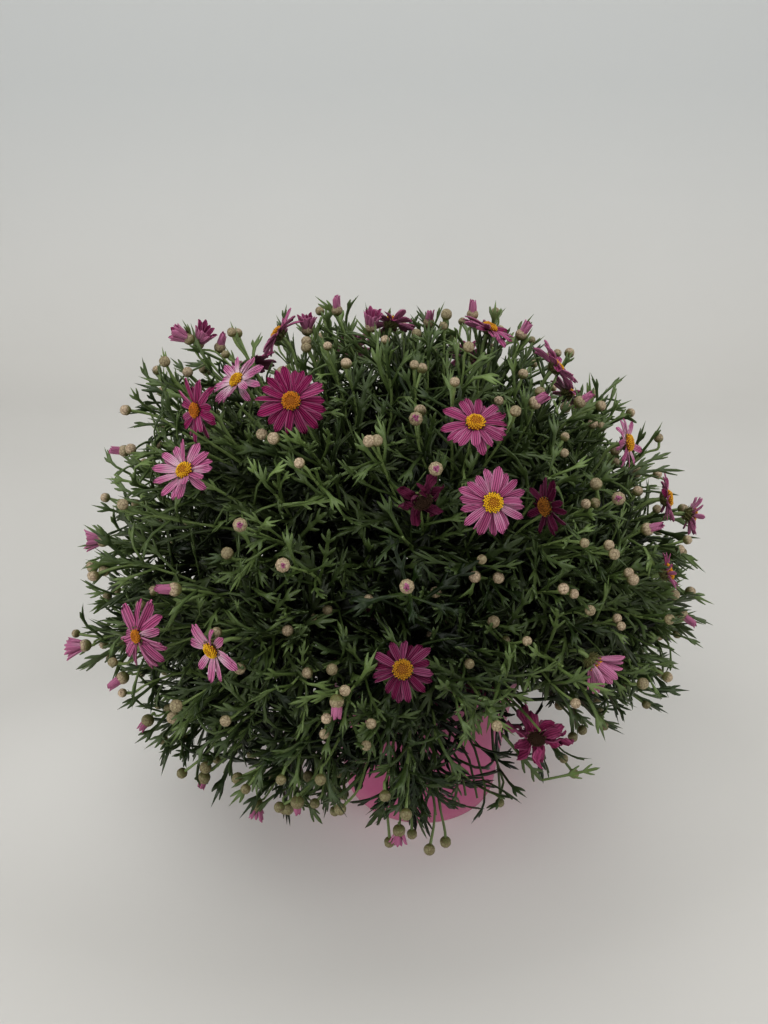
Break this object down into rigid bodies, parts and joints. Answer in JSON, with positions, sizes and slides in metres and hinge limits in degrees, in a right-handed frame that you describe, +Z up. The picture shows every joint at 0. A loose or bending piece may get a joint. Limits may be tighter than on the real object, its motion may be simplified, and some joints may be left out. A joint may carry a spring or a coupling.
{
  "type": "potted marguerite daisy",
  "caption": "Round, bushy marguerite daisy with fine dark green foliage, pink daisy flowers and round buds, growing in a pink plastic grower's pot filled with soil.",
  "frame": {"origin": "on the pot's axis, at the underside of its base, where it stands", "axes": "+Z up along the pot's axis; -Y is the front, the side with most open flowers; +X is to the right seen from the front, along the bush's widest extent"},
  "size_m": [0.4807, 0.4371, 0.4228],
  "materials": {
    "pot_plastic": "satin",
    "potting_soil": "rough",
    "woody_stem": "rough",
    "foliage": "satin",
    "petal": "satin",
    "flower_disc": "rough",
    "bud": "satin"
  },
  "bodies": {
    "root": {"pot": "pot_plastic", "potting_soil": "potting_soil", "woody_crown": "woody_stem", "flower_01": "petal", "flower_shoot_01": "foliage", "bud_shoot_01": "foliage", "flower_02": "petal", "flower_shoot_02": "foliage", "bud_shoot_02": "foliage", "flower_03": "petal", "flower_shoot_03": "foliage", "bud_shoot_03": "foliage", "flower_04": "petal", "flower_shoot_04": "foliage", "bud_shoot_04": "foliage", "flower_05": "petal", "flower_shoot_05": "foliage", "bud_shoot_05": "foliage", "flower_06": "petal", "flower_shoot_06": "foliage", "bud_shoot_06": "foliage", "flower_07": "petal", "flower_shoot_07": "foliage", "bud_shoot_07": "foliage", "flower_08": "petal", "flower_shoot_08": "foliage", "bud_shoot_08": "foliage", "flower_09": "petal", "flower_shoot_09": "foliage", "bud_shoot_09": "foliage", "flower_10": "petal", "flower_shoot_10": "foliage", "bud_shoot_10": "foliage", "flower_11": "petal", "flower_shoot_11": "foliage", "bud_shoot_11": "foliage", "flower_12": "petal", "flower_shoot_12": "foliage", "bud_shoot_12": "foliage", "flower_13": "petal", "flower_shoot_13": "foliage", "bud_shoot_13": "foliage", "flower_14": "petal", "flower_shoot_14": "foliage", "bud_shoot_14": "foliage", "flower_15": "petal", "flower_shoot_15": "foliage", "bud_shoot_15": "foliage", "flower_16": "petal", "flower_shoot_16": "foliage", "bud_shoot_16": "foliage", "flower_17": "petal", "flower_shoot_17": "foliage", "bud_shoot_17": "foliage", "flower_18": "petal", "flower_shoot_18": "foliage", "bud_shoot_18": "foliage", "flower_19": "petal", "flower_shoot_19": "foliage", "bud_shoot_19": "foliage"}
  },
  "joints": []
}
